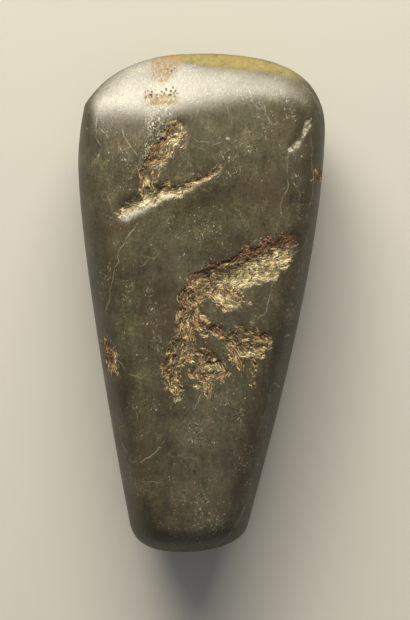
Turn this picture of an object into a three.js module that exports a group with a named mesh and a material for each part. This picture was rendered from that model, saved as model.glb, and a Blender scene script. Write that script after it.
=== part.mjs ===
// A polished greenstone axe head, lying on one broad face.
// Millimetres, +Z up. +Y runs from the blunt butt to the cutting edge, +X across the blade.
// The origin is under the middle of the stone, on the surface it lies on.
import * as THREE from "three";
import { mergeGeometries, mergeVertices } from "three/addons/utils/BufferGeometryUtils.js";

// Driving sizes of the ground form.
const LENGTH = 132; // butt to cutting edge
const WIDTH = 65; // across the blade, at its widest
const THICKNESS = 27; // at the thickest place
const FLAT_CUT = 0.2; // how much of the lower face is worn to a flat spot

const EDGE_Y = LENGTH / 2;
const BUTT_Y = -LENGTH / 2;
const SIDE_X = WIDTH / 2;
const HALF_THICKNESS = (THICKNESS + FLAT_CUT) / 2;
const MID_Z = THICKNESS - HALF_THICKNESS; // the level of the rim, all round

// Profiles of the broad faces: thickest at PEAK_Y, falling to both ends and a little to the sides.
const PEAK_Y = 6;
const BLADE_FALL = 4; // loss of half-thickness from the peak to the cutting edge
const BUTT_FALL = 3.5; // from the peak to the butt
const CROWN = 1.6; // from the centreline to the sides, over most of the length
const BLADE_CROWN = 5.5; // and at the blade

// Cutting edge: a bevel, and along its middle and right a steeper narrow facet.
const APEX_X = 1.5; // where the cutting edge reaches furthest
const BEVEL_CURL = 0.00027; // its contours draw back by the cube of the distance, less than the edge does
const EDGE_HALF = 0.25; // half the thickness left at the worn edge
const STRAIGHT_BEHIND = 24; // this far behind the edge, the bevel's contours are straight
const BEVEL_SLOPE = 0.66;
const BEVEL_BOW = 0.006; // how fast the bevel flattens, per mm behind the edge
const BEVEL_REACH = 50; // the bevel formula is held level beyond this
const FACET_SLOPE = 1.25;
const FACET = { x: 11, halfLength: 25, width: 4.4 };
const SHOULDER = 12; // the higher, the crisper the line between body and bevel
const LEFT_SHOULDER = 6; // it softens to this at the left corner

// Rounding of the rim: the distance inwards over which a face turns down to the side.
const SIDE_ROUND = 10;
const BLADE_SIDE_ROUND = 5;
const BUTT_ROUND = 9;
const EDGE_ROUND = 1;

// Facets of the ground form: stations along each curve of the outline, and rings on each face.
const STATIONS = [10, 26, 14, 14, 5, 24, 5];
const TOP_RINGS = 30;
const UNDER_RINGS = 14;
const HUB = new THREE.Vector2(0, 4); // where the rings of both faces close up

// Hollows that the grinding never reached. Each is a chain of points in plan, with its half-width
// and depth at the two ends. The first two meet in a V; the next four are one branching patch.
const TOP_HOLLOWS = [
  { chain: [[-5.5, 45.5], [-10.5, 38], [-13.8, 34], [-13.8, 28]], reach: [2.4, 3.6], depth: [0.35, 0.7] },
  { chain: [[-19, 23], [-10.5, 28], [-5.5, 28.8], [4, 34]], reach: [3.8, 1.6], depth: [0.85, 0.15] },
  { chain: [[23.5, 15.5], [11, 8], [4, 4.5]], reach: [4, 7], depth: [0.9, 1] },
  { chain: [[4, 4.5], [-1, -3], [-2.5, -10], [-6, -21]], reach: [6.5, 3.8], depth: [0.8, 0.5] },
  { chain: [[17, -9.5], [11, -11.5], [1, -6]], reach: [4.4, 2.6], depth: [0.4, 0.5] },
  { chain: [[4.5, -16], [2, -23]], reach: [4.2, 2.6], depth: [0.5, 0.3] },
  { chain: [[27.5, 47.5], [23.5, 41]], reach: [2, 2], depth: [0.3, 0.3] },
  { chain: [[-22, -12.5], [-20.5, -19.5]], reach: [2, 2], depth: [0.4, 0.4] },
];
const UNDER_HOLLOWS = [
  { chain: [[14, 38], [20, 30]], reach: [5, 3.5], depth: [0.7, 0.6] },
  { chain: [[-17, -22], [-11, -36]], reach: [4.5, 3], depth: [0.6, 0.5] },
];

// The plan outline, anticlockwise from the lowest point of the butt. It is convex all round.
function planOutline() {
  const path = new THREE.Path();
  path.moveTo(-3, BUTT_Y);
  path.bezierCurveTo(5.5, BUTT_Y, 14, BUTT_Y + 2.5, 15.4, BUTT_Y + 7.5); // right corner of the butt
  path.bezierCurveTo(23, -26, SIDE_X, 15, SIDE_X, 46); // right side
  path.bezierCurveTo(SIDE_X, 59, 23, EDGE_Y, 3, EDGE_Y); // right half of the cutting edge
  path.bezierCurveTo(-13, EDGE_Y, -24, EDGE_Y - 3.5, -31.2, 51.4); // left half
  path.bezierCurveTo(-31.8, 48.8, -SIDE_X, 43, -SIDE_X, 37.5); // under the left corner
  path.bezierCurveTo(-SIDE_X, 22, -23, -27, -15.7, BUTT_Y + 7); // left side
  path.bezierCurveTo(-14.5, BUTT_Y + 2.5, -11, BUTT_Y, -3, BUTT_Y); // left corner of the butt
  return path;
}

// Stations round the outline, each with its outward normal and the rounding of the faces there.
function rimStations() {
  return planOutline().curves.flatMap((curve, i) => {
    const points = curve.getSpacedPoints(STATIONS[i]).slice(0, -1);
    return points.map((point, k) => {
      const along = curve.getTangentAt(k / STATIONS[i]);
      const normal = new THREE.Vector2(along.y, -along.x);
      return { point, normal, round: rimRounding(point, normal) };
    });
  });
}

function rimRounding(point, normal) {
  const bladeShare = THREE.MathUtils.smoothstep(point.y, 0, 46);
  const side = THREE.MathUtils.lerp(SIDE_ROUND, BLADE_SIDE_ROUND, bladeShare);
  const atEdge = THREE.MathUtils.smoothstep(normal.y, 0.2, 1);
  const atButt = THREE.MathUtils.smoothstep(-normal.y, 0.4, 0.9);
  return THREE.MathUtils.lerp(THREE.MathUtils.lerp(side, EDGE_ROUND, atEdge), BUTT_ROUND, atButt);
}

// Half-thickness of the body alone, with no rounding and no bevel.
function bodyHalf(x, y) {
  const share = y > PEAK_Y ? (y - PEAK_Y) / (EDGE_Y - PEAK_Y) : (PEAK_Y - y) / (PEAK_Y - BUTT_Y);
  const fall = (y > PEAK_Y ? BLADE_FALL : BUTT_FALL) * share ** 2;
  const crown = THREE.MathUtils.lerp(CROWN, BLADE_CROWN, THREE.MathUtils.smoothstep(y, 5, 60));
  return HALF_THICKNESS - fall - crown * (x / SIDE_X) ** 2;
}

// Half-thickness under the bevel and its facet, from the distance behind the cutting edge.
function bevelHalf(x, y) {
  const off = Math.abs(x - APEX_X);
  const curl = BEVEL_CURL * off ** 3;
  const fromTip = EDGE_Y - y;
  const behind = fromTip < STRAIGHT_BEHIND ? (fromTip - curl) / (1 - curl / STRAIGHT_BEHIND) : fromTip;
  const back = THREE.MathUtils.clamp(behind / Math.hypot(1, 3 * BEVEL_CURL * off ** 2), 0, BEVEL_REACH);
  const facet = FACET.width * Math.max(1 - ((x - FACET.x) / FACET.halfLength) ** 2, 0);
  const bevel = EDGE_HALF + (FACET_SLOPE - BEVEL_SLOPE) * facet + BEVEL_SLOPE * back;
  return softMin(bevel - BEVEL_BOW * back ** 2, EDGE_HALF + FACET_SLOPE * back, SHOULDER);
}

// A smooth minimum of two positive heights.
function softMin(first, second, crispness) {
  return (first ** -crispness + second ** -crispness) ** (-1 / crispness);
}

// How far inside the rim a place is, as a share of the rounding: 0 at the rim, 1 where it ends.
function rimShare(plan, stations) {
  const shares = stations.map(({ point, normal, round }) => point.clone().sub(plan).dot(normal) / round);
  return THREE.MathUtils.clamp(Math.min(...shares), 0, 1);
}

// Half-thickness of the ground form at one place.
function formHalf(plan, stations) {
  const share = rimShare(plan, stations);
  if (share < 1e-6) return 0;
  const turn = (1 - (1 - share) ** 2.3) ** (1 / 2.1);
  const crispness = THREE.MathUtils.lerp(SHOULDER, LEFT_SHOULDER, THREE.MathUtils.smoothstep(-plan.x, 5, 28));
  return softMin(bodyHalf(plan.x, plan.y) * turn, bevelHalf(plan.x, plan.y), crispness);
}

// Depth of the deepest hollow at one place.
function hollowDepth(x, y, hollows) {
  const place = new THREE.Vector3(x, y, 0);
  const nearest = new THREE.Vector3();
  let depth = 0;
  for (const hollow of hollows) {
    const points = hollow.chain.map(([px, py]) => new THREE.Vector3(px, py, 0));
    for (let i = 0; i + 1 < points.length; i++) {
      const leg = new THREE.Line3(points[i], points[i + 1]);
      const along = leg.closestPointToPointParameter(place, true);
      leg.at(along, nearest);
      const share = (i + along) / (points.length - 1);
      const reach = THREE.MathUtils.lerp(...hollow.reach, share);
      const nearness = 1 - THREE.MathUtils.smoothstep(nearest.distanceTo(place), 0, reach);
      depth = Math.max(depth, THREE.MathUtils.lerp(...hollow.depth, share) * nearness);
    }
  }
  return depth;
}

// One face: half a sphere whose rings become shrunken copies of the outline.
function face(upper, rings, stations) {
  const columns = stations.length;
  const from = upper ? 0 : Math.PI / 2;
  const geometry = new THREE.SphereGeometry(1, columns, rings, 0, 2 * Math.PI, from, Math.PI / 2);
  const { position, uv } = geometry.attributes;
  for (let i = 0; i < position.count; i++) {
    const fromPole = upper ? 1 - uv.getY(i) : uv.getY(i);
    const share = 1 - (1 - fromPole) ** 1.5; // rings crowd towards the rim, where the face turns down
    const plan = HUB.clone().lerp(stations[i % (columns + 1) % columns].point, share);
    const depth = hollowDepth(plan.x, plan.y, upper ? TOP_HOLLOWS : UNDER_HOLLOWS);
    const half = share < 1 ? Math.max(formHalf(plan, stations) - depth, 0) : 0;
    position.setXYZ(i, plan.x, plan.y, Math.max(MID_Z + (upper ? half : -half), 0));
  }
  return geometry;
}

function stoneGeometry() {
  const stations = rimStations();
  const both = mergeGeometries([
    face(true, TOP_RINGS, stations),
    face(false, UNDER_RINGS, stations),
  ]);
  both.deleteAttribute("normal");
  both.deleteAttribute("uv");
  const closed = mergeVertices(both, 1e-4);
  closed.computeVertexNormals();
  return closed;
}

const greenstone = new THREE.MeshStandardMaterial({ color: 0x55513a, roughness: 0.35, metalness: 0 });
const axe = new THREE.Mesh(stoneGeometry(), greenstone);
axe.name = "axe_head";
const group = new THREE.Group();
group.add(axe);

export default group;
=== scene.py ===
# A polished greenstone axe head, lying on one broad face on a pale studio floor.
# Its form is worked out in millimetres from the frame's box and scaled to metres at the end.
import math

import bmesh
import bpy
import numpy as np
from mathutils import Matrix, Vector, noise
from mathutils.geometry import interpolate_bezier


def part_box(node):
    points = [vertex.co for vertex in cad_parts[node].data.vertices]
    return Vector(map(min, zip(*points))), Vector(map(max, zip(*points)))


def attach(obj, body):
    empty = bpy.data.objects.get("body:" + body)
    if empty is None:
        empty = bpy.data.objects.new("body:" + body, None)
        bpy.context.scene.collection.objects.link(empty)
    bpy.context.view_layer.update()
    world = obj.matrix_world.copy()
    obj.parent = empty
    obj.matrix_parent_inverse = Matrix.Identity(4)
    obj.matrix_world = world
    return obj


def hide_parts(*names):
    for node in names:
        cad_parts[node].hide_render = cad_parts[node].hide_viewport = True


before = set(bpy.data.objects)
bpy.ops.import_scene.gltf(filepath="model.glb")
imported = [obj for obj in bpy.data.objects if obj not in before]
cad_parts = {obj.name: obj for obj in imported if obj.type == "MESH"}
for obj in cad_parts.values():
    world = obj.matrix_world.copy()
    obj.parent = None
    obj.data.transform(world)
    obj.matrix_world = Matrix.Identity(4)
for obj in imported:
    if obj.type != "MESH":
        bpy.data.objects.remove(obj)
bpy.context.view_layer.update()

MM = 0.001

# ---- The ground form, as in the part's source -------------------------------------------------

low, high = (np.array(corner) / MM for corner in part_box("axe_head"))
EDGE_Y, BUTT_Y, SIDE_X = high[1], low[1], high[0]
THICKNESS = high[2]
FLAT_CUT = 0.2  # depth of the worn flat spot underneath
HALF_THICKNESS = (THICKNESS + FLAT_CUT) / 2
MID_Z = THICKNESS - HALF_THICKNESS

PEAK_Y = 6
BLADE_FALL, BUTT_FALL = 4, 3.5
CROWN, BLADE_CROWN = 1.6, 5.5
APEX_X, BEVEL_CURL, EDGE_HALF = 1.5, 0.00027, 0.25
STRAIGHT_BEHIND = 24  # this far behind the edge, the bevel's contours are straight
BEVEL_SLOPE, BEVEL_BOW, BEVEL_REACH = 0.66, 0.006, 50
FACET_SLOPE, FACET_X, FACET_HALF_LENGTH, FACET_WIDTH = 1.25, 11, 25, 4.4
SHOULDER, LEFT_SHOULDER = 12, 6  # how crisp the line between body and bevel is
SIDE_ROUND, BLADE_SIDE_ROUND, BUTT_ROUND, EDGE_ROUND = 10, 5, 9, 1
HUB = np.array([0.0, 4.0])
RIM_CROWDING = 1.5

# Outline of the plan: each knot with its leaving handle and the next knot's arriving handle.
OUTLINE = [
    ((-3, BUTT_Y), (5.5, BUTT_Y), (14, BUTT_Y + 2.5)),
    ((15.4, BUTT_Y + 7.5), (23, -26), (SIDE_X, 15)),
    ((SIDE_X, 46), (SIDE_X, 59), (23, EDGE_Y)),
    ((3, EDGE_Y), (-13, EDGE_Y), (-24, EDGE_Y - 3.5)),
    ((-31.2, 51.4), (-31.8, 48.8), (-SIDE_X, 43)),
    ((-SIDE_X, 37.5), (-SIDE_X, 22), (-23, -27)),
    ((-15.7, BUTT_Y + 7), (-14.5, BUTT_Y + 2.5), (-11, BUTT_Y)),
]

# Smooth hollows in each face: a chain of points, then half-width and depth at its two ends.
TOP_HOLLOWS = [
    ([(-5.5, 45.5), (-10.5, 38), (-13.8, 34), (-13.8, 28)], (2.4, 3.6), (0.35, 0.7)),
    ([(-19, 23), (-10.5, 28), (-5.5, 28.8), (4, 34)], (3.8, 1.6), (0.85, 0.15)),
    ([(23.5, 15.5), (11, 8), (4, 4.5)], (4, 7), (0.9, 1)),
    ([(4, 4.5), (-1, -3), (-2.5, -10), (-6, -21)], (6.5, 3.8), (0.8, 0.5)),
    ([(17, -9.5), (11, -11.5), (1, -6)], (4.4, 2.6), (0.4, 0.5)),
    ([(4.5, -16), (2, -23)], (4.2, 2.6), (0.5, 0.3)),
    ([(27.5, 47.5), (23.5, 41)], (2, 2), (0.3, 0.3)),
    ([(-22, -12.5), (-20.5, -19.5)], (2, 2), (0.4, 0.4)),
]
UNDER_HOLLOWS = [
    ([(14, 38), (20, 30)], (5, 3.5), (0.7, 0.6)),
    ([(-17, -22), (-11, -36)], (4.5, 3), (0.6, 0.5)),
]

# ---- Where the stone is rough, pale, rusty or scratched ----------------------------------------

# Rough cores of the hollows: tapering strokes of (x, y, half-width).
V_HOLLOW = [
    [(-5.1, 46.2, 0.7), (-7.3, 42.6, 2.6), (-10.4, 38.1, 2.5), (-13.5, 34.4, 1.6), (-13.7, 31, 1.8),
     (-13.2, 28, 2.2)],
    [(-19.3, 23.1, 0.8), (-14.9, 25.3, 1.4), (-11.5, 27.8, 2.1), (-5.6, 28.8, 1.1), (-1.8, 31.2, 0.7),
     (2.1, 32.6, 0.7), (4.1, 34, 0.3)],
]
BIG_HOLLOW = [
    [(23.2, 15.9, 2.3), (20.6, 13.5, 4.2), (17.4, 11.3, 4.8), (14.2, 9.9, 4.7), (11, 8.7, 4.5), (8, 6.9, 4.4)],
    [(8, 6.9, 4.4), (4.2, 5.8, 4.2), (1, 4.3, 3.6), (-1.5, 1.3, 2.4)],
    [(5.6, 2.1, 2), (8.2, 0.9, 2.2), (10.8, 0.4, 1.9), (12.7, 0.8, 0.6)],
    [(1, 4.3, 3.4), (-1.8, 1.3, 2.4), (-1.7, -2.6, 2.4), (-2.5, -6.5, 2.1), (-2.7, -10, 2.2),
     (-3.9, -13.3, 2.6), (-5.7, -16.2, 2.5), (-5.9, -19.7, 2.2), (-4.2, -22.9, 1.6)],
    [(0.7, -5.4, 1.6), (3.3, -6.6, 1.4), (5.9, -7.8, 1.2), (8.5, -9.5, 1.4)],
    [(9.1, -8.7, 1.4), (12.3, -7.9, 1.6), (15.5, -8.1, 1.7), (17.8, -8.1, 0.9)],
    [(10.5, -10.5, 1.9), (12.4, -11.8, 1.9), (15.7, -12, 1.6), (18.8, -10.9, 0.4)],
    [(10.3, -13.8, 1.7), (11.3, -15.7, 1)],
    [(14.8, -14.3, 0.9), (15.2, -16.2, 0.5), (14.8, -20.4, 0.3)],
    [(-1.3, -13.8, 1.9), (1.9, -14.4, 1.9), (5.5, -14.9, 1.6), (7.2, -17.1, 1.2), (5.6, -19, 1.4),
     (2.7, -19.5, 2.5), (1.1, -17.3, 2.2)],
    [(2.7, -20, 1.6), (3.5, -22, 1.1), (4.8, -23.7, 0.3)],
]
EDGE_CHIP = [[(31.4, 35, 0.7), (31.2, 33.2, 0.8)]]
LEFT_CHIP = [[(-23.3, -9.8, 0.5), (-21.6, -15.5, 1), (-20.6, -19.1, 0.7)], [(-20.3, -14.6, 0.7), (-22, -12, 0.5)]]
# Pale mineral inclusions, ground flush with the surface.
INCLUSIONS = [
    [(28.3, 48.8, 0.2), (27.6, 47.4, 0.9), (26.9, 45.8, 0.7), (26.3, 43.9, 0.3)],
    [(25.4, 42.4, 0.5), (24.7, 41.6, 0.8)], [(24, 41.2, 0.6), (22.9, 40.2, 0.5)],
    [(-4.6, -25.1, 0.35), (-3.6, -25, 0.55)], [(-5.1, -23.9, 0.3), (-4.4, -23.7, 0.35)],
    [(21, -20.3, 0.25), (22.1, -21.1, 0.35)], [(23.4, -8, 0.2), (24.2, -7.7, 0.3)],
    [(6.6, 42.5, 0.35), (6.9, 42.4, 0.35)],
]
TOP_ROUGH = V_HOLLOW + BIG_HOLLOW + LEFT_CHIP + EDGE_CHIP
UNDER_ROUGH = [[(14.5, 37, 1.6), (19.5, 30.5, 1.2)], [(-16, -24, 1.2), (-12, -34, 1)]]
# Islands of polished stone that stand up inside the big hollow.
ISLANDS = [
    [(7.2, 9, 1), (9.8, 9.5, 1)],
    [(4.1, -11.4, 1.7), (7.3, -11, 1.7)],
    [(2.2, -3.8, 1.1), (4.5, -3.4, 1.1)],
    [(0.3, -7.5, 0.9), (0.9, -7.4, 0.8)],
    [(-0.7, -20.9, 1.1), (0.5, -20.2, 1)],
]
# Smooth worn lips below the rough cores, in the form of shallow extra hollows.
LIPS = [
    ([(-17.8, 24.8), (-14.9, 26), (-10.5, 28), (-5.6, 29)], (3.2, 2.4), (0.55, 0.2)),
    ([(20.5, 9), (16, 7.6), (11, 6)], (3.6, 3), (0.3, 0.4)),
]
# Pale crystalline slopes of both hollows, partly the stone's pale crystals and partly painted highlight where the
# slopes face the key light, and their rusty shaded borders.
PALE_ON_LIT_SLOPES = [
    [(21.2, 13, 1.3), (21.9, 10.4, 1.6), (20, 8, 1.4)],
    [(18.6, 12.2, 1.1), (15, 9.6, 1.6), (12, 7.9, 1.4), (8.7, 6.2, 1.1), (5.6, 4.9, 0.8)],
    [(17.8, 7.4, 1.2), (14, 6.2, 1.2), (10, 5, 1)],
    [(-19.3, 23.1, 1), (-14.9, 25.2, 1.6), (-11, 27, 1.7), (-5.6, 28.4, 0.9)],
    [(-5.3, 45.9, 0.6), (-6.5, 42.5, 1.2), (-9.6, 38.6, 0.6)],
    [(5.6, 1.2, 1), (10.8, -0.2, 0.9)], [(12, -13, 1), (16, -12.4, 0.7)], [(3, -17, 1), (5, -16.6, 0.7)],
]
RUST = [
    [(24, 16.8, 1.7), (19.8, 16.4, 1.5), (16.2, 14.6, 1.6), (12.8, 13.4, 1.5), (9, 12.2, 1.5), (5, 10.6, 1.3),
     (1, 8.4, 1.1), (-3, 4, 0.8), (-3.6, -2, 0.7)],
    [(-8, 44.6, 0.5), (-11, 40.8, 0.5), (-14, 36.6, 0.5), (-15.6, 33, 0.4)],
    [(-0.2, 31.8, 0.4), (3, 33.4, 0.4)],
    [(0, -5, 0.9), (3.5, -6, 0.7), (6, -7.2, 0.6)],
    [(-22.8, -11, 0.7), (-21.2, -17, 0.7)],
    [(16.5, -8.6, 0.8), (18, -8.2, 0.5)],
    [(31.4, 35, 1.2), (31.2, 33.2, 1.2)],
]
# Milky stretches of the ground, and browner ones.
MILKY = [[(2, -22, 5), (1, -36, 9), (3, -48, 7)], [(10, 46, 12), (16, 40, 9)], [(-9, 14, 6), (-4, 6, 5)]]
BROWN = [[(-24, 22, 4), (-22, 0, 4), (-18, -26, 4)], [(10, -40, 5), (13, -52, 4)], [(-12, 8, 8), (-10, -10, 6)],
         [(22, 34, 5), (12, 24, 7)]]
# Band of white crystal grains that runs from the bevel down to the V hollow, with pits at its top.
GRAIN_TRAIL = [[(-11, 56, 2), (-10.7, 53.5, 3.6), (-11.3, 49.3, 3.2), (-11.8, 44, 3), (-13.4, 38, 1.8), (-14.6, 27, 1)]]
PIT_BAND = [[(-14, 53.6, 1.6), (-8, 54.4, 1.6)], [(-8.6, 61, 1.2), (-8, 63, 0.8)]]
# Iron stains: on the cutting edge and in the pits.
STAIN = [[(-10, 65.5, 4.5), (-10.8, 60.5, 3), (-11, 58.5, 1.5)], [(-14, 52.4, 1.5), (-8, 52.4, 1.5)]]
# Clusters of fine crystal flecks.
CLUSTERS = [
    [(0.2, -32, 2), (1.2, -35, 2.4)], [(2.6, -50.4, 2), (4.4, -54.5, 2.2)], [(0.4, 17.4, 2), (2.6, 19.6, 1.8)],
    [(9.2, 41.2, 1.2), (12.8, 40.2, 1.6)], [(6.6, 38, 1.8), (8.6, 34.5, 2)], [(11.8, -26.6, 1.2), (12.6, -30, 1.2)],
    [(14.8, -37.6, 1.6), (13.4, -42, 1.6)], [(-19.8, 39, 1.4), (-18.4, 33, 1.6)], [(-23, 9, 1.2), (-24, 4, 1.2)],
    [(-17.5, 4.5, 1.2), (-18.5, -3, 1)], [(25, 33, 1.2), (26.6, 24, 1.6)], [(27, 12, 1), (24, -4, 1.2)],
    [(-12.5, 3, 1), (-9, -12, 1.2)], [(9.5, 55, 1.2), (12.6, 51.5, 1.2)], [(15, 51, 1.2), (16.5, 44, 1.4)],
    [(20, 55, 1.4), (23.5, 48, 1.4)], [(8.5, -55.5, 1.5), (7, -59, 1.5)],
]

# Colour masks made from strokes, and how soft their borders are, as a share of the half-width.
MASKS = {
    "pale": (PALE_ON_LIT_SLOPES, 0.5),
    "rust": (RUST, 0.6),
    "grains": (GRAIN_TRAIL, 0.45),
    "inclusion": (INCLUSIONS, 0.35),
    "stain": (STAIN, 0.5),
    "cluster": (CLUSTERS, 0.6),
    "milky": (MILKY, 0.9),
    "brown": (BROWN, 0.9),
}

# Fine veins and scratches: a chain of points, the half-width and how strongly it shows.
VEINS = [
    ([(-15.9, 20), (-19.9, 12.7), (-22, 5), (-23.3, -3.3)], 0.22, 0.5),
    ([(-23.5, 26.4), (-22.3, 22.5), (-20.5, 21.4), (-18.6, 21)], 0.3, 0.7),
    ([(-27.6, 47.4), (-27.5, 42.1), (-26.4, 40.3)], 0.25, 0.5),
    ([(-26.2, 43.8), (-24.9, 43.3), (-24, 41.7)], 0.25, 0.45),
    ([(-20.4, 44.8), (-19.8, 41.1), (-17.6, 39), (-16.7, 37.7)], 0.28, 0.55),
    ([(-3.9, 42.9), (-1.8, 41.4), (1.5, 41.2), (5.4, 41.4)], 0.2, 0.4),
    ([(22.7, 39.8), (22.4, 30.8), (20.6, 21.2)], 0.2, 0.4),
    ([(28.9, 43.7), (29.1, 28.6), (28.7, 24.1)], 0.22, 0.45),
    ([(28.9, 19.6), (26.9, 14.8), (24.3, 12.8)], 0.2, 0.5),
    ([(26, 58.5), (28.9, 54.8), (31.1, 49.9)], 0.3, 0.5),
    ([(19.8, 5.8), (17.4, -2.7), (12.9, -6.3)], 0.17, 0.55),
    ([(8.7, -14.1), (6.5, -17.1)], 0.17, 0.5),
    ([(2.9, -23), (0.1, -27.6)], 0.17, 0.45),
    ([(-17.8, -37), (-15.5, -42), (-12.3, -41.3), (-7.9, -37.7)], 0.25, 0.5),
    ([(-14.5, -46.4), (-13.6, -50.9)], 0.2, 0.35),
    ([(-14, -46.9), (-8.2, -46.8)], 0.2, 0.35),
    ([(20.1, -21.2), (19.2, -26), (18, -29.7), (17.1, -34.3)], 0.2, 0.35),
    ([(15.8, -49.7), (14.5, -52.1), (13.3, -55.9), (10.8, -59.6), (7.5, -63.5)], 0.22, 0.5),
    ([(-19.8, -15.3), (-17, -19), (-12.5, -19.9)], 0.2, 0.5),
    ([(8.4, 58.4), (11.6, 56.5), (12.7, 52.6), (15, 50)], 0.2, 0.5),
    ([(15.9, 50.9), (18.1, 45.3)], 0.2, 0.5),
    ([(6.6, 51.1), (7.8, 46.8)], 0.2, 0.5),
]

# Relief and mesh sizes, in millimetres.
CORE_DEPTH = 0.3  # how far the rough cores lie below the smooth hollows
FIBRE_RELIEF = 0.24  # height of the fibres above the gaps between them
# Layers of fibres: their angle to the rough stroke in degrees, their length and spacing.
FIBRE_LAYERS = [(0, 3.6, 0.66), (34, 2.4, 0.62), (-42, 1.8, 0.62)]
STROKES_APART = 7.3  # shifts the fibres of one stroke against the next, so that no two are alike
PIT_DEPTH = 0.2
VEIN_WANDER = 0.7
ROUGH_EDGE_LENGTH = 0.245
VEIN_EDGE_LENGTH = 0.6
UPPER_EDGE_LENGTH = 1
UNDER_EDGE_LENGTH = 2
BASE_SUBDIVISIONS = 6
REFINING_PASSES = 6


def smooth_step(value, start, end):
    share = np.clip((value - start) / (end - start), 0, 1)
    return share * share * (3 - 2 * share)


def mix(a, b, share):
    return a + (b - a) * share


def soft_min(first, second, crispness):
    with np.errstate(divide="ignore"):
        return (first ** -crispness + second ** -crispness) ** (-1 / crispness)


def rim_line():
    """Points round the outline with their share of its length, outward normals and rounding."""
    ends = OUTLINE[1:] + OUTLINE[:1]
    points = []
    for (start, leaving, arriving), (end, _, _) in zip(OUTLINE, ends):
        curve = interpolate_bezier(Vector(start), Vector(leaving), Vector(arriving), Vector(end), 31)
        points += [tuple(point) for point in curve[:-1]]
    points = np.array(points)[:, :2]
    steps = np.roll(points, -1, axis=0) - points
    lengths = np.hypot(*steps.T)
    shares = np.concatenate([[0], np.cumsum(lengths)[:-1]]) / lengths.sum()
    normals = np.column_stack([steps[:, 1], -steps[:, 0]]) / lengths[:, None]
    side = mix(SIDE_ROUND, BLADE_SIDE_ROUND, smooth_step(points[:, 1], 0, 46))
    rounding = mix(side, EDGE_ROUND, smooth_step(normals[:, 1], 0.2, 1))
    rounding = mix(rounding, BUTT_ROUND, smooth_step(-normals[:, 1], 0.4, 0.9))
    return points, shares, normals, rounding


RIM, RIM_SHARES, RIM_NORMALS, RIM_ROUNDING = rim_line()


def body_half(x, y):
    share = np.where(y > PEAK_Y, (y - PEAK_Y) / (EDGE_Y - PEAK_Y), (PEAK_Y - y) / (PEAK_Y - BUTT_Y))
    fall = np.where(y > PEAK_Y, BLADE_FALL, BUTT_FALL) * share ** 2
    crown = mix(CROWN, BLADE_CROWN, smooth_step(y, 5, 60))
    return HALF_THICKNESS - fall - crown * (x / SIDE_X) ** 2


def behind_edge(x, y):
    """Distance behind the cutting edge, over contours that straighten towards the body."""
    off = np.abs(x - APEX_X)
    curl = BEVEL_CURL * off ** 3
    behind = EDGE_Y - y
    behind = np.where(behind < STRAIGHT_BEHIND, (behind - curl) / (1 - curl / STRAIGHT_BEHIND), behind)
    return np.maximum(behind, 0) / np.hypot(1, 3 * BEVEL_CURL * off ** 2)


def facet_width(x):
    return FACET_WIDTH * np.maximum(1 - ((x - FACET_X) / FACET_HALF_LENGTH) ** 2, 0)


def bevel_half(x, y):
    back = np.minimum(behind_edge(x, y), BEVEL_REACH)
    bevel = EDGE_HALF + (FACET_SLOPE - BEVEL_SLOPE) * facet_width(x) + BEVEL_SLOPE * back
    return soft_min(bevel - BEVEL_BOW * back ** 2, EDGE_HALF + FACET_SLOPE * back, SHOULDER)


def form_half(x, y):
    """Half-thickness of the ground form, and how far inside the rim's rounding the place is."""
    share = np.ones_like(x)
    for (px, py), (nx, ny), rounding in zip(RIM, RIM_NORMALS, RIM_ROUNDING):
        share = np.minimum(share, ((px - x) * nx + (py - y) * ny) / rounding)
    turn = (1 - (1 - np.clip(share, 0, 1)) ** 2.3) ** (1 / 2.1)
    body = np.maximum(body_half(x, y) * turn, 1e-9)
    crispness = mix(SHOULDER, LEFT_SHOULDER, smooth_step(-x, 5, 28))
    return np.where(share > 1e-6, soft_min(body, bevel_half(x, y), crispness), 0), share


def legs(x, y, chain):
    """For each leg of a chain: its number, the share of it at the nearest point, the distance to
    it, and the place in its own frame, as distances along the chain and across it."""
    begun = 0
    for i, (start, end) in enumerate(zip(chain, chain[1:])):
        dx, dy = end[0] - start[0], end[1] - start[1]
        length = math.hypot(dx, dy)
        run = ((x - start[0]) * dx + (y - start[1]) * dy) / length
        across = ((x - start[0]) * dy - (y - start[1]) * dx) / length
        share = np.clip(run / length, 0, 1)
        yield i, share, np.hypot(run - share * length, across), begun + run, across
        begun += length


def hollow_depth(x, y, hollows):
    depth = np.zeros_like(x)
    for chain, reaches, depths in hollows:
        for i, along, distance, _, _ in legs(x, y, chain):
            share = (i + along) / (len(chain) - 1)
            depth = np.maximum(depth, mix(*depths, share) * (1 - smooth_step(distance, 0, mix(*reaches, share))))
    return depth


def inside(x, y, strokes):
    """How far inside tapering strokes: 1 on the centre line, 0 at the border, below 0 outside."""
    most = np.full_like(x, -9.0)
    for stroke in strokes:
        for i, share, distance, _, _ in legs(x, y, stroke):
            most = np.maximum(most, 1 - distance / mix(stroke[i][2], stroke[i + 1][2], share))
    return most


def nearest_stroke(x, y, strokes):
    """Distance outside the nearest stroke, below 0 inside it, and the place along and across it."""
    least, along, across = np.full_like(x, 99.0), np.zeros_like(x), np.zeros_like(x)
    for number, stroke in enumerate(strokes):
        for i, share, distance, run, off in legs(x, y, stroke):
            outside = distance - mix(stroke[i][2], stroke[i + 1][2], share)
            nearer = outside < least
            least = np.where(nearer, outside, least)
            along = np.where(nearer, run + STROKES_APART * number, along)
            across = np.where(nearer, off, across)
    return least, along, across


def nearest_vein(x, y):
    """Signed distance across the nearest vein, over its half-width, and how strongly it shows here."""
    nearest, offset, strength = np.full_like(x, 99.0), np.full_like(x, 99.0), np.zeros_like(x)
    for chain, width, shown in VEINS:
        for _, _, distance, _, across in legs(x, y, chain):
            closer = distance < nearest
            nearest = np.where(closer, distance, nearest)
            offset = np.where(closer, np.sign(across) * distance / width, offset)
            strength = np.where(closer, shown * (1 - smooth_step(distance, 0.6, 1.2)), strength)
    return offset, strength


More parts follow.
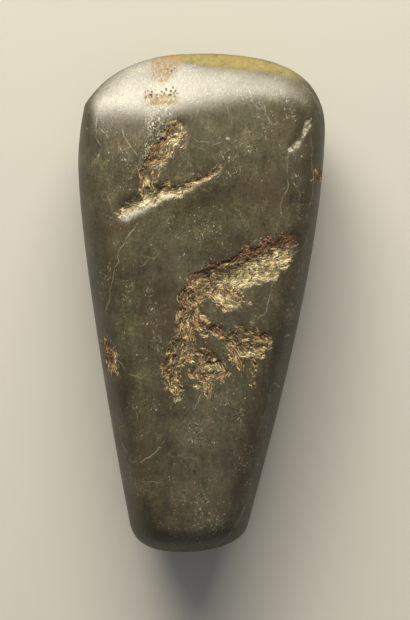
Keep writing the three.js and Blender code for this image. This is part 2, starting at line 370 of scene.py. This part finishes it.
def place(directions):
    """Plan, half-thickness and place inside the rim, in mm, for directions out of a ball's centre."""
    polar = np.arccos(np.clip(np.abs(directions[:, 2]), 0, 1)) / (math.pi / 2)
    share = 1 - (1 - polar) ** RIM_CROWDING
    around = (np.arctan2(directions[:, 1], directions[:, 0]) / (2 * math.pi) + 0.25) % 1
    rim_x = np.interp(around, RIM_SHARES, RIM[:, 0], period=1)
    rim_y = np.interp(around, RIM_SHARES, RIM[:, 1], period=1)
    x = mix(HUB[0], rim_x, share)
    y = mix(HUB[1], rim_y, share)
    half, inwards = form_half(x, y)
    return x, y, np.where(share < 1 - 1e-9, half, 0), inwards


def wanted_edge_length(x, y, upper):
    rough = np.where(upper, nearest_stroke(x, y, TOP_ROUGH + PIT_BAND + INCLUSIONS)[0],
                     nearest_stroke(x, y, UNDER_ROUGH)[0])
    vein = np.full_like(x, 99.0)
    for chain, width, _ in VEINS:
        for _, _, distance, _, _ in legs(x, y, chain):
            vein = np.minimum(vein, distance - width)
    wanted = np.where(upper, UPPER_EDGE_LENGTH, UNDER_EDGE_LENGTH)
    wanted = np.where(upper & (vein < VEIN_WANDER), VEIN_EDGE_LENGTH, wanted)
    return np.where(rough < 0.4, np.where(upper, ROUGH_EDGE_LENGTH, 2 * ROUGH_EDGE_LENGTH), wanted)


def refined_ball():
    """A ball of triangles, finer wherever the stone's surface needs it."""
    bm = bmesh.new()
    bmesh.ops.create_icosphere(bm, subdivisions=BASE_SUBDIVISIONS, radius=1)
    for _ in range(REFINING_PASSES):
        bm.verts.index_update()
        ends = np.array([[vertex.index for vertex in edge.verts] for edge in bm.edges])
        directions = np.array([vertex.co for vertex in bm.verts])
        x, y, half, _ = place(directions)
        points = np.column_stack([x, y, half * np.sign(directions[:, 2])])
        middle = points[ends].mean(axis=1)
        length = np.linalg.norm(points[ends[:, 0]] - points[ends[:, 1]], axis=1)
        upper = middle[:, 2] > 0
        too_long = length > wanted_edge_length(middle[:, 0], middle[:, 1], upper)
        if not too_long.any():
            break
        bmesh.ops.subdivide_edges(bm, edges=[edge for edge, cut in zip(bm.edges, too_long) if cut], cuts=1)
        bmesh.ops.triangulate(bm, faces=bm.faces)
        for vertex in bm.verts:
            vertex.co.normalize()
    return bm


def fibres(along, across):
    """Strands that follow a rough stroke and cross at low angles: 1 on a crest, 0 in the gaps."""
    crests = np.zeros_like(along)
    turned = [(math.cos(math.radians(turn)), math.sin(math.radians(turn)), length, spacing)
              for turn, length, spacing in FIBRE_LAYERS]
    for i, (u, v) in enumerate(zip(along, across)):
        sway = noise.noise_vector(Vector((u, v, 0)) / 3)
        u, v = u + 1.4 * sway.x, v + 1.4 * sway.y
        for j, (cos, sin, length, spacing) in enumerate(turned):
            spot = Vector(((u * cos + v * sin) / length, (v * cos - u * sin) / spacing, 9 * j))
            here = 0.75 + 0.6 * noise.noise(Vector((u, v, 20 * j)) / 2)
            crests[i] = max(crests[i], here * (1 - 3.6 * abs(noise.noise(spot))))
    return np.clip(crests, 0, 1)


def patches(x, y, size, seed):
    """Slow noise between -1 and 1, with lumps of about the given size."""
    return np.array([noise.noise(Vector((px, py, seed * size)) / size) for px, py in zip(x, y)])


def wander(x, y, size, reach):
    """The same places, shifted about by up to the given reach, to bend straight lines."""
    shifts = [noise.noise_vector(Vector((px, py, 0)) / size) + 0.35 * noise.noise_vector(Vector((px, py, 9)) / (size / 4))
              for px, py in zip(x, y)]
    shifts = np.array(shifts) * reach
    return x + shifts[:, 0], y + shifts[:, 1]


def make_axe_head():
    bm = refined_ball()
    directions = np.array([vertex.co for vertex in bm.verts])
    x, y, half, inwards = place(directions)
    upper = directions[:, 2] > 0
    depth = np.where(upper, hollow_depth(x, y, TOP_HOLLOWS) + hollow_depth(x, y, LIPS),
                     hollow_depth(x, y, UNDER_HOLLOWS))

    # The rough cores: how far inside their ragged border, in mm, and the fibres in them.
    bent_x, bent_y = wander(x, y, 2.5, 0.9)
    top, under = nearest_stroke(bent_x, bent_y, TOP_ROUGH), nearest_stroke(bent_x, bent_y, UNDER_ROUGH)
    outside, along, across = np.where(upper, top, under)
    near = outside < 1.5
    crest, ragged = np.zeros_like(x), np.zeros_like(x)
    crest[near] = fibres(along[near], across[near])
    ragged[near] = patches(x[near], y[near], 2.6, 3) + 0.7 * patches(x[near], y[near], 1.1, 7)
    island = np.where(upper, nearest_stroke(bent_x, bent_y, ISLANDS)[0], 99)
    inset = np.minimum(np.minimum(-outside, island), 0.8) + 1.4 * ragged + 1.3 * (crest - 0.4)
    rough = smooth_step(inset, -0.25, 0.15)
    deep = smooth_step(inset, -0.1, 0.7)
    depth = depth + deep * (CORE_DEPTH - FIBRE_RELIEF * (crest - 0.5))

    vein_off, vein = nearest_vein(*wander(x, y, 3, VEIN_WANDER))
    vein = np.where(upper, vein * np.clip(0.7 + 1.3 * patches(x, y, 1.8, 5), 0.1, 1), 0)
    pits = smooth_step(np.where(upper, inside(x, y, PIT_BAND), -9), -0.2, 0.4)
    pits = pits * smooth_step(patches(x, y, 0.55, 11), 0.3, 0.45)
    depth = depth + PIT_DEPTH * pits

    half = np.where(half > 0, np.maximum(half - np.minimum(depth, 0.5 * half), 0), 0)
    z = np.maximum(MID_Z + half * np.sign(directions[:, 2]), 0)
    for vertex, point in zip(bm.verts, np.column_stack([x, y, z]) * MM):
        vertex.co = point

    mesh = bpy.data.meshes.new("axe_stone")
    bm.to_mesh(mesh)
    bm.free()
    masks = {
        "rough": rough,
        "crest": crest,
        "vein": vein,
        "vein_off": vein_off,
        "pits": pits,
        # How far into the rim's rounding: it darkens the colour there as painted shade, and dulls the polish.
        "rim": 1 - smooth_step(inwards, 0, 1),
        "band": (1 - smooth_step(behind_edge(x, y), 0.7 * facet_width(x), 1.3 * facet_width(x) + 0.3))
        * smooth_step(x, -19, -11) * (1 - smooth_step(x, 24, 30)),
    }
    for name, (strokes, softness) in MASKS.items():
        masks[name] = smooth_step(np.where(upper, inside(x, y, strokes), -9), -softness, softness)
    for name, values in masks.items():
        attribute = mesh.attributes.new(name, "FLOAT", "POINT")
        attribute.data.foreach_set("value", values.astype(np.float32))
    flow = mesh.attributes.new("flow", "FLOAT_VECTOR", "POINT")
    flow.data.foreach_set("vector", (np.column_stack([along, across, 0 * x]) * MM).astype(np.float32).ravel())
    mesh.shade_smooth()
    return bpy.data.objects.new("axe_stone", mesh)


# ---- Materials -------------------------------------------------------------------------------

def linear(code):
    """An sRGB hex colour as linear RGBA."""
    channels = [int(code[i:i + 2], 16) / 255 for i in (1, 3, 5)]
    return [c / 12.92 if c <= 0.04045 else ((c + 0.055) / 1.055) ** 2.4 for c in channels] + [1]


def node(tree, kind, inputs=None, stops=None, **settings):
    """Adds a node, sets its properties and colour stops, and fills its inputs by value or by link."""
    made = tree.nodes.new(kind)
    for name, value in settings.items():
        setattr(made, name, value)
    for i, (position, colour) in enumerate(stops or []):
        stop = made.color_ramp.elements[i] if i < 2 else made.color_ramp.elements.new(position)
        stop.position = position
        stop.color = linear(colour)
    for name, value in (inputs or {}).items():
        if isinstance(value, bpy.types.NodeSocket):
            tree.links.new(value, made.inputs[name])
        else:
            made.inputs[name].default_value = value
    return made


# A Mix node's sockets in colour mode, by number, because their names repeat.
FACTOR, FIRST, SECOND, RESULT = 0, 6, 7, 2

# Noise patterns of the stone, each stretched to run from 0 to 1. In turn: what it follows, lump size
# in mm, how often longer than wide and in which direction in degrees, detail, roughness, distortion,
# and the noise values that count as 0 and as 1.
PATTERNS = {
    "clouds": ("place", 10, 1, 0, 6, 0.62, 0, 0.34, 0.7),
    "brown clouds": ("place", 8, 1.7, 90, 5, 0.65, 0, 0.47, 0.66),
    "mottle": ("place", 2.6, 1.3, 90, 8, 0.8, 0, 0.34, 0.66),
    "grain": ("place", 0.7, 1, 0, 4, 0.8, 0, 0.34, 0.66),
    "streaks": ("place", 0.8, 8, 90, 5, 0.7, 0, 0.3, 0.7),
    "dark flecks": ("place", 0.7, 3, 92, 4, 0.7, 0, 0.6, 0.68),
    "specks": ("place", 0.5, 1.4, 60, 2, 0.5, 0, 0.68, 0.73),
    "speck patches": ("place", 5, 1, 0, 5, 0.7, 0, 0.45, 0.58),
    "flecks": ("place", 0.4, 3.6, 35, 3, 0.6, 0.8, 0.58, 0.68),
    "cross flecks": ("place", 0.4, 3.6, -60, 3, 0.6, 0.8, 0.58, 0.68),
    "crystals": ("place", 0.6, 1.6, 80, 4, 0.75, 1.2, 0.53, 0.63),
    "crystal gaps": ("place", 1.6, 1.5, 80, 4, 0.7, 0, 0.42, 0.6),
    "hair patches": ("place", 6, 1, 0, 3, 0.55, 0, 0.5, 0.65),
    "broken": ("place", 1, 1, 0, 4, 0.75, 0, 0.42, 0.56),
    "rusting": ("place", 0.9, 1.5, 90, 5, 0.8, 0, 0.42, 0.56),
    "tone": ("place", 2.2, 1, 0, 4, 0.7, 0, 0.38, 0.62),
    "gaps": ("flow", 1.3, 2.2, 0, 4, 0.65, 0.5, 0.54, 0.66),
    "strands": ("flow", 0.36, 6, 0, 3, 0.65, 0.6, 0.44, 0.66),
    "cross strands": ("flow", 0.36, 4, 32, 3, 0.65, 0.6, 0.48, 0.7),
    "tooth": ("place", 0.5, 1, 0, 4, 0.6, 0, 0.2, 0.8),
    "polish": ("place", 0.55, 12, 88, 5, 0.75, 0, 0.3, 0.7),
}
# Patterns that darken and lighten the ground: the factors at 0 and at 1.
SHADES = [("grain", 0.5, 1.5), ("mottle", 0.64, 1.4), ("streaks", 0.78, 1.24)]
# Coats of colour over the ground: the colour, its strength, and the patterns and masks that limit it.
COATS = [
    ("#4a3c2b", 0.6, ["brown clouds"]),
    ("#3c2f1f", 0.5, ["brown", "tone"]),
    ("#5f5d4a", 0.5, ["milky", "mottle"]),
    ("#1b180d", 0.6, ["dark flecks"]),
    ("#c9c2a8", 0.8, ["specks", "speck patches"]),
    ("#a29c84", 0.5, ["flecks", "speck patches", "hair patches"]),
    ("#b8b199", 0.8, ["flecks", "cluster", "broken"]),
    ("#b8b199", 0.8, ["cross flecks", "cluster", "broken"]),
    ("#1d180f", 0.6, ["crystal gaps", "grains"]),
    ("#c4bda2", 0.95, ["crystals", "grains"]),
    ("#8d866c", 0.35, ["hairs", "hair patches"]),
    ("#a5a088", 0.95, ["inclusion", "broken"]),
    ("#aaa389", 0.9, ["vein line", "vein"]),
    ("#564a1a", 0.95, ["band"]),
    ("#8c8048", 0.9, ["band", "mottle"]),
    ("#7d5b16", 0.95, ["stain", "rusting"]),
    ("#43290f", 0.95, ["stain", "rusting", "dark flecks"]),
    ("#4a3219", 0.9, ["pits"]),
]
# Colours of the fibres, from the gaps to the crests, and what limits each over the one before: partly the fibres' own
# brown to cream, partly painted shade in the gaps and painted highlight on the crests.
FIBRE_COLOURS_WITH_SHADE = [
    ([(0, "#211a0f"), (0.4, "#544025"), (0.75, "#896b40"), (1, "#bc9d68")], None),
    ([(0, "#2c2617"), (0.35, "#6d5a39"), (0.7, "#b09563"), (1, "#ead8a8")], "tone"),
    # Paler fibres on the pale slopes: partly the stone's pale crystals, partly painted highlight.
    ([(0, "#453d25"), (0.35, "#85764f"), (0.75, "#bfae82"), (1, "#efe3bd")], "pale"),
    ([(0, "#241a0e"), (0.45, "#69492a"), (1, "#bd8a58")], "rust"),
    # Darker still where the gaps pattern is high: painted shade between the fibres.
    ([(0, "#1f1e14"), (0.6, "#3c3926"), (1, "#5b543a")], "gaps"),
]
MESH_VALUES = ["rough", "crest", "vein", "vein_off", "pits", "rim", "band", *MASKS]


def polished_greenstone():
    """Nephrite-like greenstone, ground and polished by hand: olive and brown mottling with faint
    streaks along the stone, pale specks and veins, a satin gloss, and rough fibrous golden-brown
    to cream hollows where the polish never reached."""
    material = bpy.data.materials.new("polished greenstone")
    material.use_nodes = True
    tree = material.node_tree
    tree.nodes.clear()
    follows = {
        "place": node(tree, "ShaderNodeTexCoord").outputs["Object"],
        "flow": node(tree, "ShaderNodeAttribute", attribute_name="flow").outputs["Vector"],
    }
    shown = {name: node(tree, "ShaderNodeAttribute", attribute_name=name).outputs["Fac"] for name in MESH_VALUES}
    for name, (followed, size, stretch, turn, detail, roughness, distortion, none, full) in PATTERNS.items():
        drawn = node(tree, "ShaderNodeMapping", {
            "Vector": follows[followed], "Rotation": (0, 0, math.radians(turn)),
            "Scale": (stretch * size * MM, size * MM, size * MM),
        }, vector_type="TEXTURE")
        lumps = node(tree, "ShaderNodeTexNoise", {
            "Vector": drawn.outputs["Vector"], "Scale": 1, "Detail": detail, "Roughness": roughness,
            "Distortion": distortion,
        })
        stretched = node(tree, "ShaderNodeMapRange", {
            "Value": lumps.outputs["Fac"], "From Min": none, "From Max": full,
        })
        shown[name] = stretched.outputs["Result"]

    # Hairline cracks, 0.1 mm wide, wander between patches of stone about 13 mm across.
    sway = node(tree, "ShaderNodeTexNoise", {"Vector": follows["place"], "Scale": 1 / (5 * MM)})
    swayed = node(tree, "ShaderNodeMix", {FACTOR: 4 * MM, FIRST: follows["place"], SECOND: sway.outputs["Color"]},
                  data_type="RGBA", blend_type="LINEAR_LIGHT")
    cracks = node(tree, "ShaderNodeTexVoronoi", {"Vector": swayed.outputs[RESULT], "Scale": 1 / (13 * MM)},
                  feature="DISTANCE_TO_EDGE")
    hairs = node(tree, "ShaderNodeMapRange", {
        "Value": cracks.outputs["Distance"], "From Min": 0.004, "From Max": 0.013, "To Min": 1, "To Max": 0,
    })
    shown["hairs"] = hairs.outputs["Result"]
    # The longer veins follow their own lines, brightest in the middle.
    across = node(tree, "ShaderNodeMath", {0: shown["vein_off"]}, operation="ABSOLUTE")
    vein_line = node(tree, "ShaderNodeMapRange", {
        "Value": across.outputs["Value"], "From Min": 0.2, "From Max": 0.8, "To Min": 1, "To Max": 0,
    })
    shown["vein line"] = vein_line.outputs["Result"]

    # The ground: clouds of olive and grey-green, its shades, then its coats of colour, then painted shade that darkens
    # it towards the rounded sides.
    ground = node(tree, "ShaderNodeValToRGB", {"Fac": shown["clouds"]},
                  [(0, "#2d2918"), (0.33, "#3e3824"), (0.64, "#474430"), (1, "#5a533b")]).outputs["Color"]
    for pattern, darkest, lightest in SHADES:
        shade = node(tree, "ShaderNodeMapRange", {"Value": shown[pattern], "To Min": darkest, "To Max": lightest})
        ground = node(tree, "ShaderNodeMix", {FACTOR: 1, FIRST: ground, SECOND: shade.outputs["Result"]},
                      data_type="RGBA", blend_type="MULTIPLY").outputs[RESULT]
    for colour, amount, limits in COATS:
        for limit in limits:
            amount = node(tree, "ShaderNodeMath", {0: amount, 1: shown[limit]}, operation="MULTIPLY").outputs["Value"]
        ground = node(tree, "ShaderNodeMix", {FACTOR: amount, FIRST: ground, SECOND: linear(colour)},
                      data_type="RGBA").outputs[RESULT]
    # Painted shade: the ground colour is darkened towards the rounded sides, over the rim's rounding.
    painted_side_shade = node(tree, "ShaderNodeMath", {0: 0.45, 1: shown["rim"]}, operation="MULTIPLY")
    ground = node(tree, "ShaderNodeMix", {FACTOR: painted_side_shade.outputs["Value"], FIRST: ground, SECOND: linear("#1b1a10")},
                  data_type="RGBA").outputs[RESULT]

    # The fibres, 0.4 mm thick: their height above the gaps picks the colour, darker in the gaps as painted shade and
    # lighter on the crests as painted highlight.
    strands = node(tree, "ShaderNodeMath", {0: shown["strands"], 1: shown["cross strands"]}, operation="MAXIMUM")
    swell = node(tree, "ShaderNodeMapRange", {"Value": shown["crest"], "To Min": -0.3, "To Max": 0.3})
    height = node(tree, "ShaderNodeMath", {0: strands.outputs["Value"], 1: swell.outputs["Result"]}, operation="ADD")
    fibre = None
    for stops, limit in FIBRE_COLOURS_WITH_SHADE:
        ramp = node(tree, "ShaderNodeValToRGB", {"Fac": height.outputs["Value"]}, stops).outputs["Color"]
        fibre = ramp if limit is None else node(
            tree, "ShaderNodeMix", {FACTOR: shown[limit], FIRST: fibre, SECOND: ramp}, data_type="RGBA",
        ).outputs[RESULT]
    # Single fibres reach out over the border.
    reach = node(tree, "ShaderNodeMapRange", {"Value": height.outputs["Value"], "To Min": -0.4, "To Max": 0.4})
    feather = node(tree, "ShaderNodeMath", {0: shown["rough"], 1: reach.outputs["Result"]}, operation="ADD")
    feathered = node(tree, "ShaderNodeMapRange", {
        "Value": feather.outputs["Value"], "From Min": 0.35, "From Max": 0.65,
    }).outputs["Result"]
    colour = node(tree, "ShaderNodeMix", {FACTOR: feathered, FIRST: ground, SECOND: fibre}, data_type="RGBA")

    # Satin polish with fine scratches along the stone; the fibres are dull.
    satin = node(tree, "ShaderNodeMapRange", {"Value": shown["polish"], "To Min": 0.24, "To Max": 0.38})
    roughness = satin.outputs["Result"]
    for limits, dull in [(["rim"], 0.5), (["stain", "rusting"], 0.7), (["grains", "crystals"], 0.6), (["pits"], 0.8)]:
        amount = 1
        for limit in limits:
            amount = node(tree, "ShaderNodeMath", {0: amount, 1: shown[limit]}, operation="MULTIPLY").outputs["Value"]
        roughness = node(tree, "ShaderNodeMix", {0: amount, 2: roughness, 3: dull}, data_type="FLOAT").outputs[0]
    roughness = node(tree, "ShaderNodeMix", {0: feathered, 2: roughness, 3: 0.8}, data_type="FLOAT")
    fine = node(tree, "ShaderNodeMix", {0: 0.6, 2: shown["tooth"], 3: shown["polish"]}, data_type="FLOAT")
    low = node(tree, "ShaderNodeMath", {0: fine.outputs[0], 1: 0.35}, operation="MULTIPLY")
    tooth = node(tree, "ShaderNodeMix", {0: feathered, 2: low.outputs["Value"], 3: strands.outputs["Value"]},
                 data_type="FLOAT")
    bump = node(tree, "ShaderNodeBump", {"Height": tooth.outputs[0], "Strength": 0.8, "Distance": 0.12 * MM})
    stone = node(tree, "ShaderNodeBsdfPrincipled", {
        "Base Color": colour.outputs[RESULT], "Roughness": roughness.outputs[0],
        "Normal": bump.outputs["Normal"], "IOR": 1.62,
    })
    node(tree, "ShaderNodeOutputMaterial", {"Surface": stone.outputs["BSDF"]})
    return material


def studio_floor_paint():
    """Matt white studio paint: even and slightly warm."""
    material = bpy.data.materials.new("matt studio paint")
    material.use_nodes = True
    shader = material.node_tree.nodes["Principled BSDF"]
    shader.inputs["Base Color"].default_value = linear("#bebbb6")
    shader.inputs["Roughness"].default_value = 0.9
    return material


# ---- The scene -------------------------------------------------------------------------------

stone = make_axe_head()
bpy.context.scene.collection.objects.link(stone)
stone.data.materials.append(polished_greenstone())
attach(stone, "root")
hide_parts("axe_head")

floor_mesh = bpy.data.meshes.new("studio_floor")
floor_shape = bmesh.new()
bmesh.ops.create_grid(floor_shape, x_segments=1, y_segments=1, size=1.5)
floor_shape.to_mesh(floor_mesh)
floor_shape.free()
floor = bpy.data.objects.new("studio_floor", floor_mesh)
floor_mesh.materials.append(studio_floor_paint())
bpy.context.scene.collection.objects.link(floor)


def area_light(name, azimuth, elevation, distance, width, height, power, colour):
    """A soft box that faces the stone. Azimuth runs anticlockwise from +X, in degrees."""
    light = bpy.data.lights.new(name, "AREA")
    light.shape = "RECTANGLE"
    light.size = width
    light.size_y = height
    light.energy = power
    light.color = linear(colour)[:3]
    lamp = bpy.data.objects.new(name, light)
    turn, lift = math.radians(azimuth), math.radians(elevation)
    towards = Vector((math.cos(lift) * math.cos(turn), math.cos(lift) * math.sin(turn), math.sin(lift)))
    aim = Vector((0, 0, MID_Z * MM))
    lamp.location = aim + distance * towards
    lamp.rotation_euler = towards.to_track_quat("Z", "Y").to_euler()
    bpy.context.scene.collection.objects.link(lamp)


area_light("key_box", azimuth=97, elevation=29, distance=1.2, width=1.5, height=0.62, power=34, colour="#fff8e4")
area_light("hot_box", azimuth=112, elevation=22, distance=1, width=0.35, height=0.35, power=5, colour="#fff8e4")
area_light("fill_box", azimuth=-60, elevation=65, distance=1.2, width=1, height=1, power=0.6, colour="#fbfcff")

world = bpy.data.worlds.new("studio")
world.use_nodes = True
world.node_tree.nodes["Background"].inputs["Color"].default_value = linear("#f4f4f2")
world.node_tree.nodes["Background"].inputs["Strength"].default_value = 0.22
bpy.context.scene.world = world

camera_data = bpy.data.cameras.new("camera")
camera_data.sensor_width = 36
camera_data.lens = 100
camera = bpy.data.objects.new("camera", camera_data)
camera.location = (2.3 * MM, -1.9 * MM, MID_Z * MM + 0.456)
camera.rotation_euler = (0, 0, math.radians(1.86))
bpy.context.scene.collection.objects.link(camera)
bpy.context.scene.camera = camera
bpy.context.scene.view_settings.view_transform = "Standard"
